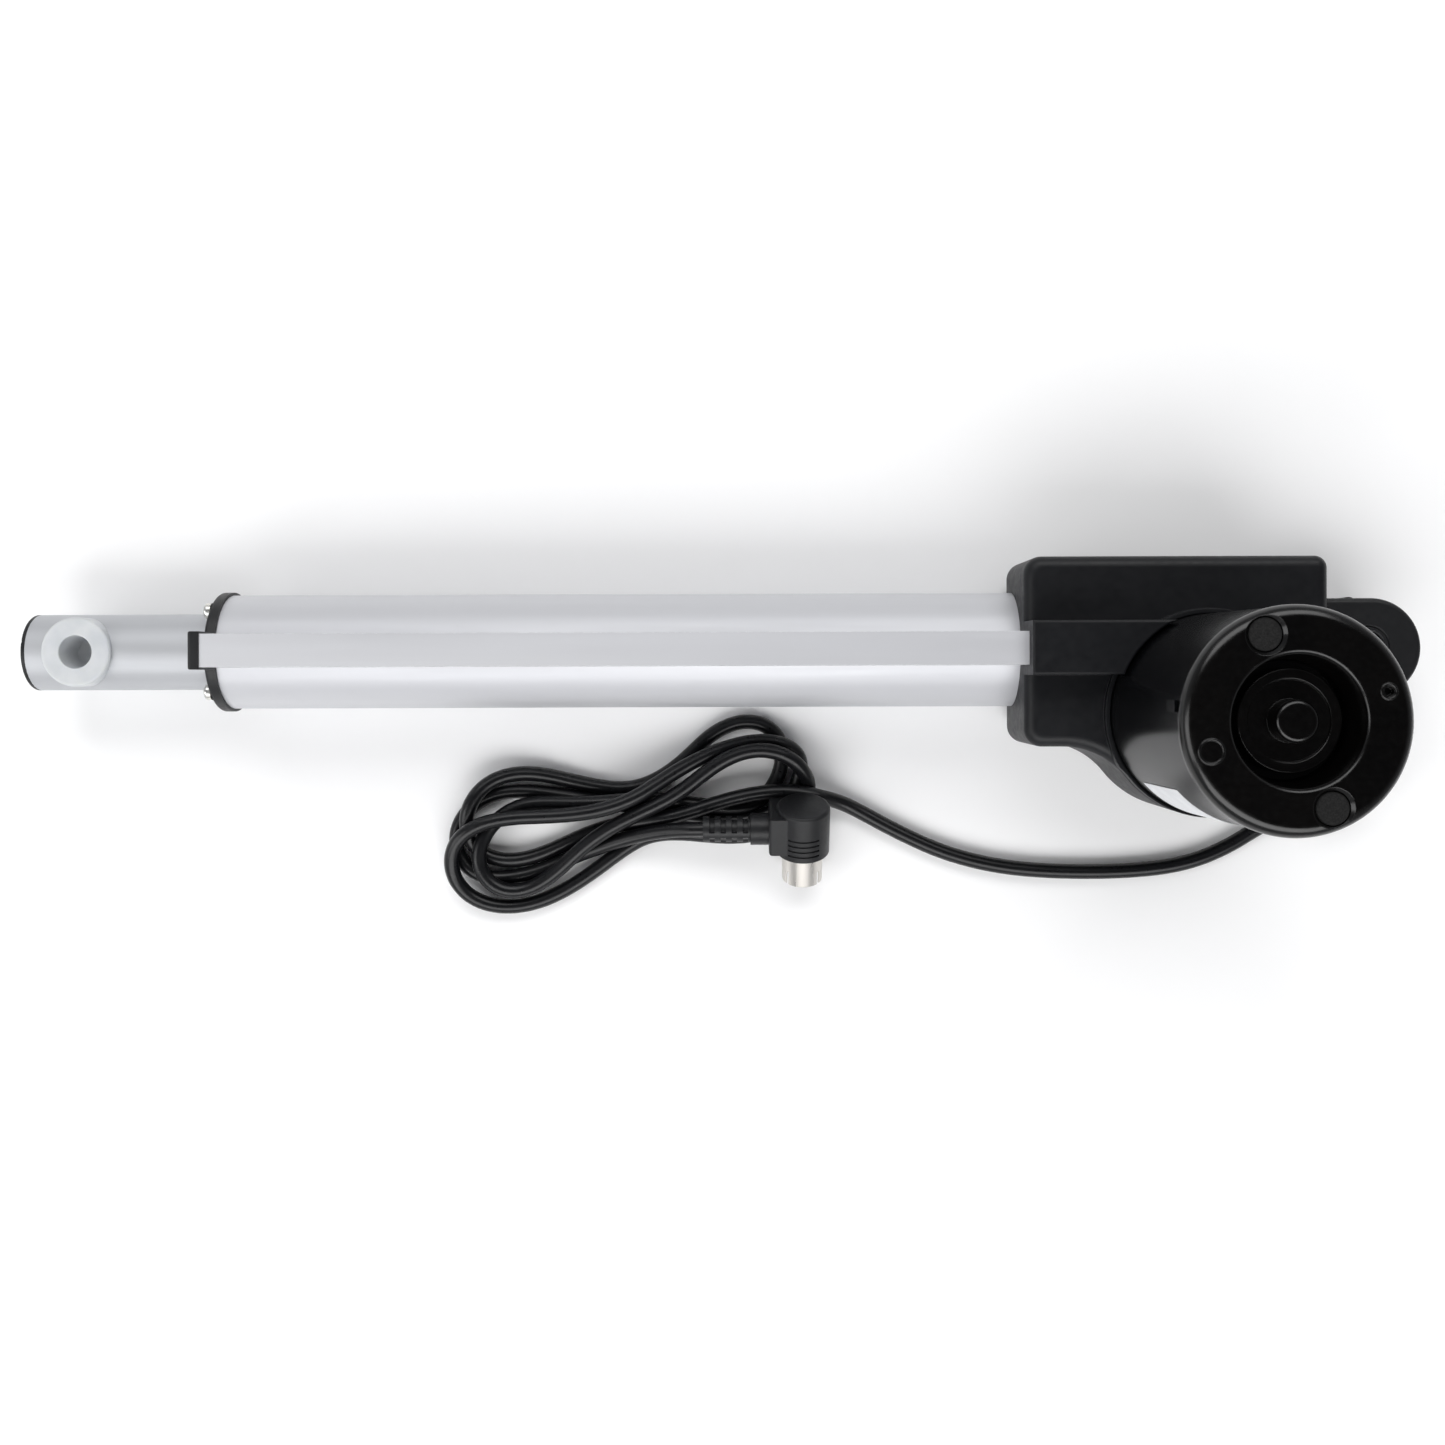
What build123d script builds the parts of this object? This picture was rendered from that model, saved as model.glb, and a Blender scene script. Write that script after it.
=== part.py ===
from build123d import *
import os
from math import cos, pi, radians, sin, sqrt, tan

os.makedirs("parts", exist_ok=True)

# A lift-chair linear actuator, lying on a flat surface with its motor standing up.
# Millimetres. The origin is the centre of the rear pivot hole, on the tube's axis.
# +X runs from the rod's eye to the rear pivot, +Z is up along the motor's axis.

# ---- driving dimensions ----
pin_to_pin = 400.0          # between the pivot centres, with the rod fully in
pivot_bore_r = 5.1          # both pivots take a 10 mm pin
floor_z = -21.0             # the surface that everything stands on
fit = 0.05                  # radial running clearance

# outer tube: an extrusion with a rib on top that hides the limit switches
tube_r = 18.0
tube_bore_r = 15.6
tube_front_x = -355.0
tube_rear_x = -94.0
rib_half = 5.0
rib_top_z = 31.0
rib_wall = 1.5
port_angles = (40, 140, 270)    # screw ports, seen from the front, from +Y
port_circle_r = 16.4
port_r = 2.6
port_screw_r = 1.45

# rod
rod_r = 12.0
rod_bore_r = 9.7
rod_front_x = -416.4
rod_rear_x = -138.0
eye_face_z = 13.5
eye_flange_r = 10.75
eye_spigot_r = 6.95

# front cap
cap_plate_r = 18.9
cap_plate_t = 3.5
tongue_half = 5.7
tongue_top_z = 31.3

# gear housing
housing_front_x = -108.6
housing_rear_x = -16.9
housing_low_y = -29.8
housing_high_y = 27.8
parting_z = -5.0
housing_top_z = 25.3
housing_wall = 3.0
band_half = 8.0
band_top_z = 36.6
cover_inset = 2.5

# motor, standing on the housing beside the tube's axis
motor_x = -53.5
motor_y = -20.0             # also the distance between worm and wheel axes
boss_r = 31.0
boss_blend_r = 24.5         # where the boss runs into the housing's side
seat_ring_r = 31.7
front_corner_r = 5.4
rear_corner_r = 3.8
can_base_r = 30.1           # the drawn can narrows a little towards its top
can_r = 29.3
can_bore_r = 27.3
can_bottom_z = 26.1
can_top_z = 90.0
motor_cap_r = 29.75
motor_cap_top_z = 94.6
recess_mouth_r = 17.2       # the dished middle of the motor's end cap, from its rim inwards
recess_floor_r = 15.6
recess_floor_z = 82.2
step_r = 13.6
step_z = 87.5
dish_r = 10.7
dish_z = 86.9
hub_r = 5.6
hub_top_z = 93.2
pad_r = 4.3
disc_angle = 198.6          # a moulded disc and, opposite it, a small blind hole
shaft_r = 3.0
bolt_circle_r = 23.6
bolt_angle = 111.0          # the two through bolts stand at this angle and opposite
magnet_angle = 21.0
bolt_seat_z = 90.0
label_low_z = 35.5
label_high_z = 66.0
label_angle = 250.6
label_t = 0.15

# gear train: single-start worm on a 30-tooth wheel, and a screw of 4 mm lead
module = 1.0
wheel_teeth = 30
worm_pitch_r = 5.0
wheel_pitch_r = module * wheel_teeth / 2
backlash = 0.15             # taken from each side of a tooth
pressure_tan = tan(radians(20))
lead_tan = module / (2 * worm_pitch_r)

# spindle and its two ball bearings
spindle_r = 6.0
spindle_front_x = -355.0
bearing_r = 16.0
front_bearing = (-75.0, -67.0)
rear_bearing = (-42.0, -34.0)
wheel_face = (-58.5, -48.5)

# rear lug
lug_r = 15.45
lug_end_x = 1.35            # the centre of its rounded end
lug_half_z = 12.5

# cable, gland and right-angle DIN plug
cable_r = 2.45
cable_floor_z = floor_z + cable_r
gland_y = -21.5
gland_z = 5.0
gland_end_x = -3.0
plug_x = -174.3             # centre of the plug's round body
plug_y = -57.6              # the lead's axis through the plug
plug_z = -7.1
plug_tilt = 26.0            # the plug's nose points down by this much
plug_r = 8.65
shell_r = 6.6


# ---- small helpers ----
def block(x0, x1, y0, y1, z0, z1):
    """A box between two corners."""
    centre = ((x0 + x1) / 2, (y0 + y1) / 2, (z0 + z1) / 2)
    return Pos(*centre) * Box(x1 - x0, y1 - y0, z1 - z0)


def rod_x(x0, x1, radius, y=0.0, z=0.0):
    """A cylinder along X."""
    return Pos((x0 + x1) / 2, y, z) * Rot(0, 90, 0) * Cylinder(radius, x1 - x0)


def post(x, y, z0, z1, radius):
    """A cylinder along Z."""
    return Pos(x, y, (z0 + z1) / 2) * Cylinder(radius, z1 - z0)


def ring_x(x0, x1, outer, inner):
    """A plain ring about the tube's axis."""
    return rod_x(x0, x1, outer) - rod_x(x0 - 1, x1 + 1, inner)


def on_motor(angle, radius):
    """A point in plan at an angle and distance from the motor's axis."""
    return motor_x + radius * cos(radians(angle)), motor_y + radius * sin(radians(angle))


def motor_post(angle, radius, z0, z1, r):
    """A cylinder along Z, placed about the motor's axis."""
    x, y = on_motor(angle, radius)
    return post(x, y, z0, z1, r)


def port_point(angle):
    """The YZ place of a screw port."""
    return port_circle_r * cos(radians(angle)), port_circle_r * sin(radians(angle))


def turned(profile):
    """A solid turned about the motor's axis from a half profile in radius and height."""
    face = Plane.XZ * make_face(Polyline(*profile, close=True))
    return Pos(motor_x, motor_y, 0) * revolve(face, Axis.Z)


def edges_at_z(solid, z):
    """The edges of a solid that lie flat at one height."""
    return solid.edges().filter_by_position(Axis.Z, z - 0.01, z + 0.01)


# ---- outer tube and what closes it ----
def outer_tube():
    rib = Pos(0, rib_top_z / 2) * Rectangle(2 * rib_half, rib_top_z)
    bore = Circle(tube_bore_r)
    for angle in port_angles:
        bore -= Pos(*port_point(angle)) * Circle(port_r)
    channel_low = tube_r + 0.6
    channel_high = rib_top_z - rib_wall
    channel_half = rib_half - rib_wall
    channel = Pos(0, (channel_low + channel_high) / 2) * Rectangle(
        2 * channel_half, channel_high - channel_low
    )
    slot = Pos(0, (12 + channel_low + 1) / 2) * Rectangle(4, channel_low + 1 - 12)
    section = Circle(tube_r) + rib - bore - channel - slot
    tube = extrude(Plane.YZ.offset(tube_front_x) * section, tube_rear_x - tube_front_x)
    for angle in port_angles:
        y, z = port_point(angle)
        tube -= rod_x(tube_front_x - 1, tube_front_x + 15, port_screw_r, y, z)
    return tube


def front_end_cap():
    tongue = Pos(0, tongue_top_z / 2) * Rectangle(2 * tongue_half, tongue_top_z)
    outline = Circle(cap_plate_r) + tongue
    front = tube_front_x - cap_plate_t
    plate = extrude(Plane.YZ.offset(front) * outline, cap_plate_t)
    front_edges = plate.edges().filter_by_position(Axis.X, front - 0.01, front + 0.01)
    plate = fillet(front_edges, 1.0)
    plate -= rod_x(front - 1, tube_front_x + 1, rod_r + 0.5)
    plate -= rod_x(tube_front_x - 2.2, tube_front_x + 1, 14.6)
    for angle in port_angles:
        y, z = port_point(angle)
        plate -= rod_x(front - 1, tube_front_x + 1, port_screw_r + 0.1, y, z)
    return plate


def end_cap_screws():
    screws = []
    front = tube_front_x - cap_plate_t
    for angle in port_angles:
        y, z = port_point(angle)
        head = rod_x(front - 2.2, front, 2.5, y, z)
        rim = head.edges().filter_by_position(Axis.X, front - 2.21, front - 2.19)
        head = fillet(rim, 0.9)
        cross = block(front - 3, front - 1.3, y - 1.4, y + 1.4, z - 0.3, z + 0.3)
        cross += block(front - 3, front - 1.3, y - 0.3, y + 0.3, z - 1.4, z + 1.4)
        shank = rod_x(front, tube_front_x + 12, port_screw_r - 0.05, y, z)
        screws.append(head - cross + shank)
    return screws


def rod_wiper():
    wiper = ring_x(tube_front_x - 2.1, tube_front_x - 0.1, 14.5, rod_r + fit)
    return wiper - ring_x(tube_front_x - 2.2, tube_front_x - 1.4, 13.2, 12.6)


def clear_of_ports(solid, clearance):
    """Cut grooves in a piece inside the tube, so that it passes the screw ports."""
    for angle in port_angles:
        y, z = port_point(angle)
        solid -= rod_x(tube_front_x - 10, -100, port_r + clearance, y, z)
    return solid


def front_guide_bush():
    bush = ring_x(tube_front_x + 0.1, tube_front_x + 13, tube_bore_r - fit, rod_r + fit)
    return clear_of_ports(bush, 0.1)


def limit_switch_board():
    return block(-345, -112, -3.2, 3.2, 26.6, 28.0)


def limit_switches():
    """Two small snap-action switches under the board, one at each end of the travel."""
    switches = []
    for x in (-333.0, -133.0):
        body = block(x - 4, x + 4, -2.9, 2.9, 23.6, 26.5)
        body = fillet(body.edges().filter_by(Axis.Z), 0.5)
        body += post(x + 2, 0, 23.0, 23.7, 0.8)
        switches.append(body)
    return switches


# ---- gear housing ----
housing_centre = ((housing_front_x + housing_rear_x) / 2, (housing_low_y + housing_high_y) / 2)


def housing_plan():
    """The upper shell's outline: a rectangle with the round motor boss blended in."""
    width = housing_high_y - housing_low_y
    plan = Pos(*housing_centre) * Rectangle(housing_rear_x - housing_front_x, width)
    plan += Pos(motor_x, motor_y) * Circle(boss_r)
    meets = sqrt(boss_r**2 - (housing_low_y - motor_y) ** 2)
    for vertex in plan.vertices():
        if abs(vertex.Y - housing_low_y) < 0.01 and abs(vertex.X - motor_x + meets) < 0.1:
            front_blend = vertex
    plan = fillet([front_blend], boss_blend_r)
    for vertex in plan.vertices():
        if abs(vertex.Y - housing_low_y) < 0.01 and abs(vertex.X - motor_x - meets) < 0.1:
            rear_blend = vertex
    plan = fillet([rear_blend], 2.4)
    for wall_x, radius in ((housing_front_x, front_corner_r), (housing_rear_x, rear_corner_r)):
        corners = [vertex for vertex in plan.vertices() if abs(vertex.X - wall_x) < 0.01]
        plan = fillet(corners, radius)
    return plan


def cover_plan(inset=0.0):
    """The lower cover's outline, with the round pocket under the worm."""
    edge = cover_inset + inset
    length = housing_rear_x - housing_front_x - 2 * edge
    width = housing_high_y - housing_low_y - 2 * edge
    plan = Pos(*housing_centre) * RectangleRounded(length, width, 6 - inset)
    return plan + Pos(motor_x, motor_y) * Circle(13.0 - inset)


screw_places = [(x, y) for x in (-97.0, -27.0) for y in (-21.5, 21.5)]


def inner_structure():
    """Sleeves, webs and posts that hold the tube, bearings and worm inside the shells."""
    solid = rod_x(housing_front_x + 1, -31, 21.3)
    solid += post(motor_x, motor_y, floor_z, housing_top_z - 1, 11.0)
    for x in (-90.0, -71.0, -38.0):
        solid += block(x - 1.25, x + 1.25, -27, 27, floor_z, housing_top_z - 1)
    for x, y in screw_places:
        solid += post(x, y, floor_z, housing_top_z - 1, 4.2)
    solid += motor_post(bolt_angle + 180, bolt_circle_r, 8, housing_top_z - 1, 4.5)
    return solid


def housing_bores():
    """Everything that the housing is cut away for."""
    cut = rod_x(housing_front_x - 5, tube_rear_x + 0.1, tube_r + fit)
    rib_cut_half = rib_half + fit
    cut += block(housing_front_x - 5, tube_rear_x + 0.1, -rib_cut_half, rib_cut_half, 0, rib_top_z + fit)
    cut += rod_x(tube_rear_x, -33, 14.2)
    for low, high in (front_bearing, rear_bearing):
        cut += rod_x(low - 0.1, high + 0.1, bearing_r + fit)
    cut += rod_x(front_bearing[1], rear_bearing[0], wheel_pitch_r + 2.6)
    cut += rod_x(rear_bearing[1], -27.2, 12.0)
    cut += post(motor_x, motor_y, -12.3, housing_top_z - 1, 8.0)
    cut += post(motor_x, motor_y, -18.4, -12, 5.5 + fit)
    cut += post(motor_x, motor_y, 20, housing_top_z + 1, 8.7)
    for angle in (bolt_angle, bolt_angle + 180):
        cut += motor_post(angle, bolt_circle_r, 18.4, housing_top_z + 1, 2.0 + fit)
    return cut


def lug_room():
    """The way through the rear wall for the lug and its anchor plate."""
    room = block(-28, housing_rear_x + 1, -lug_r - fit, lug_r + fit, -lug_half_z - fit, lug_half_z + fit)
    room += block(-27.2, -20.3, -18.6, 18.6, -14.6, 14.6)
    return room


def housing_upper_shell():
    plan = housing_plan()
    height = housing_top_z - parting_z
    outside = extrude(Pos(0, 0, parting_z) * plan, height)
    outside = fillet(edges_at_z(outside, housing_top_z), 3.4)
    band = block(housing_front_x, motor_x, -band_half, band_half, housing_top_z - 4, band_top_z)
    band -= post(motor_x, motor_y, housing_top_z - 5, band_top_z + 1, can_base_r + 0.6)
    band = fillet(edges_at_z(band, band_top_z), 0.7)
    outside += band
    seat = post(motor_x, motor_y, housing_top_z - 1, housing_top_z + 2.0, seat_ring_r)
    seat -= post(motor_x, motor_y, housing_top_z, housing_top_z + 3, can_base_r + 0.25)
    outside += seat & extrude(plan, 100)
    cavity = extrude(
        Pos(0, 0, parting_z - 1) * offset(plan, -housing_wall), height - housing_wall + 1
    )
    boss_floor = post(motor_x, motor_y, parting_z - 1, parting_z + housing_wall, 60)
    boss_floor -= block(-200, 100, housing_low_y, 100, -50, 50)
    duct = block(housing_front_x + 3, -86, -rib_half, rib_half, housing_top_z - 5, band_top_z - 2.5)
    inside = outside & inner_structure()
    shell = outside - (cavity - boss_floor) - duct + inside
    above = block(-200, 100, -100, 100, parting_z, 100)
    shell = (shell - housing_bores() - lug_room()) & above
    for x, y in screw_places:
        shell -= post(x, y, parting_z - 1, 14, 1.5)
    gland = rod_x(-24, housing_rear_x + 1, 3.1, gland_y, gland_z)
    return shell - gland


def housing_lower_cover():
    depth = parting_z - floor_z
    outside = extrude(Pos(0, 0, floor_z) * cover_plan(), depth)
    outside = fillet(edges_at_z(outside, floor_z), 3.5)
    cavity = extrude(Pos(0, 0, floor_z + housing_wall) * cover_plan(housing_wall), depth)
    inside = outside & inner_structure()
    cover = (outside - cavity + inside) - housing_bores() - lug_room()
    for x, y in screw_places:
        cover -= post(x, y, floor_z - 1, floor_z + 3.0, 3.6)
        cover -= post(x, y, floor_z - 1, parting_z + 1, 1.7)
    return cover


def housing_screws():
    screws = []
    for x, y in screw_places:
        head = post(x, y, floor_z + 0.9, floor_z + 3.0, 3.1)
        head = fillet(edges_at_z(head, floor_z + 0.9), 0.8)
        head -= block(x - 1.7, x + 1.7, y - 0.35, y + 0.35, floor_z, floor_z + 1.9)
        head -= block(x - 0.35, x + 0.35, y - 1.7, y + 1.7, floor_z, floor_z + 1.9)
        screws.append(head + post(x, y, floor_z + 3.0, 12, 1.45))
    return screws


def rear_lug():
    lug = block(housing_rear_x, lug_end_x, -lug_r, lug_r, -lug_half_z, lug_half_z)
    lug += post(lug_end_x, 0, -lug_half_z, lug_half_z, lug_r)
    lug = fillet(edges_at_z(lug, lug_half_z) + edges_at_z(lug, -lug_half_z), 1.6)
    lug += block(-26, housing_rear_x + 2, -lug_r, lug_r, -lug_half_z, lug_half_z)
    lug += block(-27, -20.4, -18.5, 18.5, -14.5, 14.5)
    lug += post(-5.2, lug_r - 2.6, -6, lug_half_z - 2, 3.0)
    lug -= rod_x(-28, -21.5, 9.6)
    for side in (1, -1):
        lug -= Pos(0, 0, side * (lug_half_z - 0.2)) * Rot(90 - 90 * side, 0, 0) * Cone(6.35, 7.35, 1.0)
    return lug - post(0, 0, -20, 20, 6.55)


def rear_lug_bush():
    bush = post(0, 0, -lug_half_z - 0.2, lug_half_z + 0.2, 6.5) - post(0, 0, -20, 20, pivot_bore_r)
    rims = edges_at_z(bush, lug_half_z + 0.2) + edges_at_z(bush, -lug_half_z - 0.2)
    return chamfer(rims, 0.35)


# ---- motor ----
def motor_can():
    can = turned([
        (8.4, 21.0), (8.4, can_bottom_z), (can_base_r, can_bottom_z), (can_r, can_top_z),
        (can_bore_r, can_top_z), (can_bore_r, can_bottom_z + 2), (6.0 + fit, can_bottom_z + 2),
        (6.0 + fit, 21.8), (3.4, 21.8), (3.4, 21.0),
    ])
    can = fillet(can.edges().filter_by(GeomType.CIRCLE).filter_by_position(
        Axis.Z, can_bottom_z - 0.01, can_bottom_z + 0.01
    ).sort_by(SortBy.RADIUS)[-1:], 1.2)
    for angle in (bolt_angle, bolt_angle + 180):
        can -= motor_post(angle, bolt_circle_r, can_bottom_z - 1, can_bottom_z + 3, 2.2)
    return can + block(motor_x - 30.3, motor_x - 28.6, motor_y + 2.4, motor_y + 5.4, 83.0, can_top_z - 0.1)


def motor_end_cap():
    spigot_r = can_bore_r - fit
    bush_pocket_r = 6.0 + fit
    cap = turned([
        (0, 90.0), (3.6, 90.0), (3.6, 85.9), (bush_pocket_r, 85.9), (bush_pocket_r, 79.9),
        (17.9, 79.9), (19.6, 91.6), (25.2, 91.6), (25.2, 85.5), (spigot_r, 85.5),
        (spigot_r, can_top_z), (motor_cap_r, can_top_z), (motor_cap_r, motor_cap_top_z),
        (recess_mouth_r, motor_cap_top_z), (recess_floor_r, recess_floor_z),
        (step_r, recess_floor_z), (step_r, step_z), (dish_r, step_z), (dish_r, dish_z),
        (hub_r, dish_z), (hub_r, hub_top_z), (0, hub_top_z),
    ])
    for z, which, radius in (
        (motor_cap_top_z, -1, 3.4),
        (motor_cap_top_z, 0, 1.2),
        (step_z, -1, 0.5),
        (step_z, 0, 0.3),
        (hub_top_z, 0, 1.3),
    ):
        cap = fillet([edges_at_z(cap, z).sort_by(SortBy.RADIUS)[which]], radius)
    for angle in (bolt_angle, bolt_angle + 180):
        boss = motor_post(angle, bolt_circle_r, 79.9, 92, 5.6)
        cap += boss & post(motor_x, motor_y, 70, 100, spigot_r)
        cap -= motor_post(angle, bolt_circle_r, bolt_seat_z, 96, pad_r + 0.2)
        cap -= motor_post(angle, bolt_circle_r, 75, 96, 2.2)
        x, y = on_motor(angle, bolt_circle_r)
        cap -= Pos(x, y, motor_cap_top_z - 0.4) * Cone(pad_r + 0.2, pad_r + 1.2, 1.0)
    for angle, radius in ((disc_angle, 3.1), (disc_angle - 180, 1.9)):
        bead = Torus(radius, 0.35)
        cap += Pos(*on_motor(angle, bolt_circle_r), motor_cap_top_z - 0.12) * bead
    return cap - motor_post(disc_angle - 180, bolt_circle_r, motor_cap_top_z - 1.6, 96, 1.2)


def motor_cap_pads():
    pads = []
    for angle in (bolt_angle, bolt_angle + 180):
        pad = motor_post(angle, bolt_circle_r, bolt_seat_z + 2.1, 94.0, pad_r)
        pads.append(fillet(edges_at_z(pad, 94.0), 0.6))
    return pads


def motor_bolts():
    bolts = []
    for angle in (bolt_angle, bolt_angle + 180):
        head = motor_post(angle, bolt_circle_r, bolt_seat_z + 0.02, bolt_seat_z + 2.0, 3.6)
        bolts.append(head + motor_post(angle, bolt_circle_r, 18.6, bolt_seat_z + 0.02, 2.0))
    return bolts


def motor_gasket():
    return turned([(20, housing_top_z), (can_r, housing_top_z), (can_r, can_bottom_z), (20, can_bottom_z)]) - (
        motor_post(bolt_angle, bolt_circle_r, 20, 30, 2.3)
        + motor_post(bolt_angle + 180, bolt_circle_r, 20, 30, 2.3)
    )


def motor_magnets():
    ring = turned([(22.1, 31), (can_bore_r - fit, 31), (can_bore_r - fit, 69), (22.1, 69)])
    magnets = []
    for side in (0, 180):
        wedge = make_face(Polyline(
            (0, 0),
            (60 * cos(radians(60)), -60 * sin(radians(60))),
            (60, -60),
            (60, 60),
            (60 * cos(radians(60)), 60 * sin(radians(60))),
            close=True,
        ))
        place = Pos(motor_x, motor_y, 20) * Rot(0, 0, magnet_angle + side)
        magnets.append(ring & place * extrude(wedge, 60))
    return magnets


def brush_holder():
    plate = turned([(10.5, 71), (can_bore_r - 0.1, 71), (can_bore_r - 0.1, 73), (10.5, 73)])
    for angle in (bolt_angle, bolt_angle + 180):
        plate -= motor_post(angle, bolt_circle_r, 60, 80, 2.6)
    for side in (0, 180):
        guide = block(11, 21, -4, 4, 73, 79) - block(10, 20, -2.6, 2.6, 73.9, 78.1)
        plate += Pos(motor_x, motor_y, 0) * Rot(0, 0, magnet_angle + side) * guide
    return plate


def brushes():
    pieces = []
    for side in (0, 180):
        brush = block(8.8, 17, -2.5, 2.5, 74, 78)
        pieces.append(Pos(motor_x, motor_y, 0) * Rot(0, 0, magnet_angle + side) * brush)
    return pieces


def bush_z(z0, z1, outer):
    return post(motor_x, motor_y, z0, z1, outer) - post(motor_x, motor_y, z0 - 1, z1 + 1, shaft_r + fit)


def worm_thrust_pad():
    return post(motor_x, motor_y, -18.35, -17.05, 5.4)


# ---- armature: turns about the motor's axis ----
def motor_shaft():
    shaft = post(motor_x, motor_y, -17.0, 86.5, shaft_r)
    return chamfer(edges_at_z(shaft, -17.0) + edges_at_z(shaft, 86.5), 0.4)


def tooth_half(depth):
    """Half a tooth's thickness, at a depth below its pitch line."""
    return module * pi / 4 - backlash + depth * pressure_tan


def worm():
    root_r = worm_pitch_r - 1.25 * module
    tip_r = worm_pitch_r + module
    length = 19.0
    lead = module * pi
    inner = root_r - 0.3
    outline = Polyline(
        (inner, -tooth_half(worm_pitch_r - inner)),
        (tip_r, -tooth_half(-module)),
        (tip_r, tooth_half(-module)),
        (inner, tooth_half(worm_pitch_r - inner)),
        close=True,
    )
    path = Helix(lead, length, worm_pitch_r)
    thread = sweep(Plane.XZ * make_face(outline), path=path, is_frenet=True)
    # at mid-height the thread's crest faces the wheel, where the wheel has a gap
    turn = 90 - 360 * (length / 2) / lead
    thread = Pos(motor_x, motor_y, -length / 2) * Rot(0, 0, turn) * thread
    core = post(motor_x, motor_y, -11, 11, root_r)
    return core + thread - post(motor_x, motor_y, -13, 13, shaft_r + 0.02)


def armature_core():
    core = post(motor_x, motor_y, 36, 64, 21.2)
    for k in range(12):
        slot = block(9.5, 19.5, -2.2, 2.2, 30, 70) + block(19, 23, -0.8, 0.8, 30, 70)
        core -= Pos(motor_x, motor_y, 0) * Rot(0, 0, 30 * k) * slot
    return core - post(motor_x, motor_y, 30, 70, shaft_r)


def armature_windings():
    low = turned([(6, 31), (17, 31), (19.2, 33), (19.2, 35.9), (6, 35.9)])
    high = turned([(6, 64.1), (19.2, 64.1), (19.2, 67), (17, 69), (6, 69)])
    coils = low + high
    for k in range(12):
        bar = block(9.7, 18.9, -2.0, 2.0, 35, 65)
        coils += Pos(motor_x, motor_y, 0) * Rot(0, 0, 30 * k) * bar
    return coils


def commutator():
    drum = post(motor_x, motor_y, 70, 79, 8.5) - post(motor_x, motor_y, 60, 80, shaft_r)
    for k in range(12):
        slit = block(7.6, 9, -0.25, 0.25, 71, 80)
        drum -= Pos(motor_x, motor_y, 0) * Rot(0, 0, 30 * k) * slit
    return drum


# ---- spindle: turns about the tube's axis ----
def spindle():
    screw = rod_x(spindle_front_x - 4, -28.5, spindle_r)
    collar = rod_x(-80, front_bearing[0] - 0.05, 8.5)
    ends = screw.edges().filter_by(GeomType.CIRCLE)
    return chamfer(ends, 0.8) + collar


def spindle_front_guide():
    """The plain washer at the screw's front end, which centres it in the rod."""
    guide = ring_x(spindle_front_x - 3.5, spindle_front_x + 0.5, rod_bore_r - 0.3, spindle_r)
    return chamfer(guide.edges().filter_by(GeomType.CIRCLE).sort_by(SortBy.RADIUS)[-2:], 0.4)


def spindle_lock_nut():
    nut = Plane.YZ.offset(-33.6) * RegularPolygon(8.6, 6)
    return extrude(nut, 4.6) - rod_x(-40, -20, spindle_r)


def worm_wheel():
    """Thirty teeth, each slanted by the worm's lead angle."""
    root_r = wheel_pitch_r - 1.25 * module
    tip_r = wheel_pitch_r + module
    width = wheel_face[1] - wheel_face[0]
    gap = []
    for r, side in ((tip_r + 0.4, -1), (root_r, -1), (root_r, 1), (tip_r + 0.4, 1)):
        half = tooth_half(wheel_pitch_r - r)
        angle = side * (pi / wheel_teeth - half / r)
        gap.append((-r * cos(angle), -r * sin(angle)))
    gap_face = make_face(Polyline(*gap, close=True))
    half_twist = lead_tan * (width / 2 + 0.5) / wheel_pitch_r * 180 / pi
    ends = []
    for x, twist in ((wheel_face[0] - 0.5, -half_twist), (wheel_face[1] + 0.5, half_twist)):
        ends.append(Plane.YZ.offset(x) * Rot(0, 0, twist) * gap_face)
    one_gap = loft(ends, ruled=True)
    wheel = rod_x(wheel_face[0], wheel_face[1], tip_r)
    gaps = [Rot(360 * k / wheel_teeth, 0, 0) * one_gap for k in range(wheel_teeth)]
    wheel -= gaps
    wheel += rod_x(front_bearing[1] + 0.1, rear_bearing[0] - 0.1, 9.0)
    return wheel - rod_x(-80, -20, spindle_r)


def bearing_outer_rings():
    rings = []
    for low, high in (front_bearing, rear_bearing):
        ring = ring_x(low, high, bearing_r, 12.8)
        rings.append(ring - Pos((low + high) / 2, 0, 0) * Rot(0, 90, 0) * Torus(11.15, 2.45))
    return rings


def bearing_inner_rings():
    rings = []
    for low, high in (front_bearing, rear_bearing):
        ring = ring_x(low, high, 9.5, spindle_r)
        rings.append(ring - Pos((low + high) / 2, 0, 0) * Rot(0, 90, 0) * Torus(11.15, 2.45))
    return rings


def bearing_balls():
    balls = []
    for low, high in (front_bearing, rear_bearing):
        for k in range(10):
            place = Pos((low + high) / 2, 0, 0) * Rot(36 * k, 0, 0) * Pos(0, 11.15, 0)
            balls.append(place * Sphere(2.35))
    return balls


# ---- rod: slides along the tube ----
def inner_rod():
    tube = rod_x(rod_front_x, rod_rear_x, rod_r) - rod_x(rod_front_x - 1, rod_rear_x + 1, rod_bore_r)
    return tube - post(-pin_to_pin, 0, -20, 20, eye_spigot_r + fit)


def rod_end_plug():
    disc = rod_x(rod_front_x - 1.4, rod_front_x, rod_r)
    rim = disc.edges().filter_by_position(Axis.X, rod_front_x - 1.41, rod_front_x - 1.39)
    disc = fillet(rim, 0.6)
    disc -= block(rod_front_x - 2, rod_front_x - 0.7, 3, 7, 10.8, 13)
    return disc + rod_x(rod_front_x, -pin_to_pin - 8.6, rod_bore_r - fit)


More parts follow.
